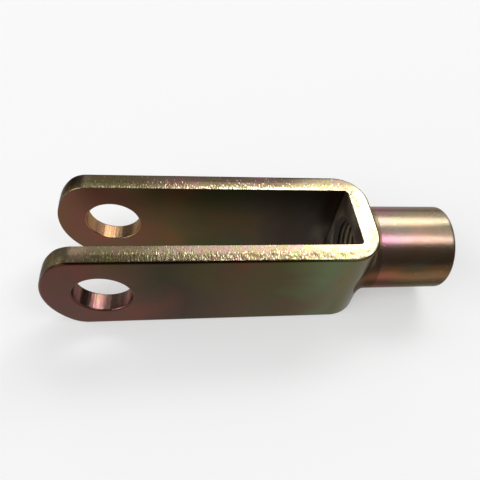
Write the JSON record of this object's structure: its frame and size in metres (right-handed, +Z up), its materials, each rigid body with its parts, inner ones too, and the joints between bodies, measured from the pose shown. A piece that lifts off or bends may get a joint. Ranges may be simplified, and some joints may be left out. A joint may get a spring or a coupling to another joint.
{
  "type": "clevis rod end",
  "caption": "Forked rod end bent from steel strap, with cross holes for a pin at one end and a round internally threaded boss for the rod at the other.",
  "frame": {"origin": "centre of the pin bore, midway between the two ears and midway up them", "axes": "+X from the pin along the rod, out of the threaded boss; +Y along the pin; +Z up, across the width of the strap"},
  "size_m": [0.1011, 0.0276, 0.0254],
  "materials": {
    "strap_plate": "yellow chromate on zinc plate over as-rolled and sheared steel strap",
    "boss_plate": "yellow chromate on zinc plate over fine-turned steel"
  },
  "bodies": {
    "root": {"yoke": "strap_plate", "threaded_boss": "boss_plate"}
  },
  "joints": []
}
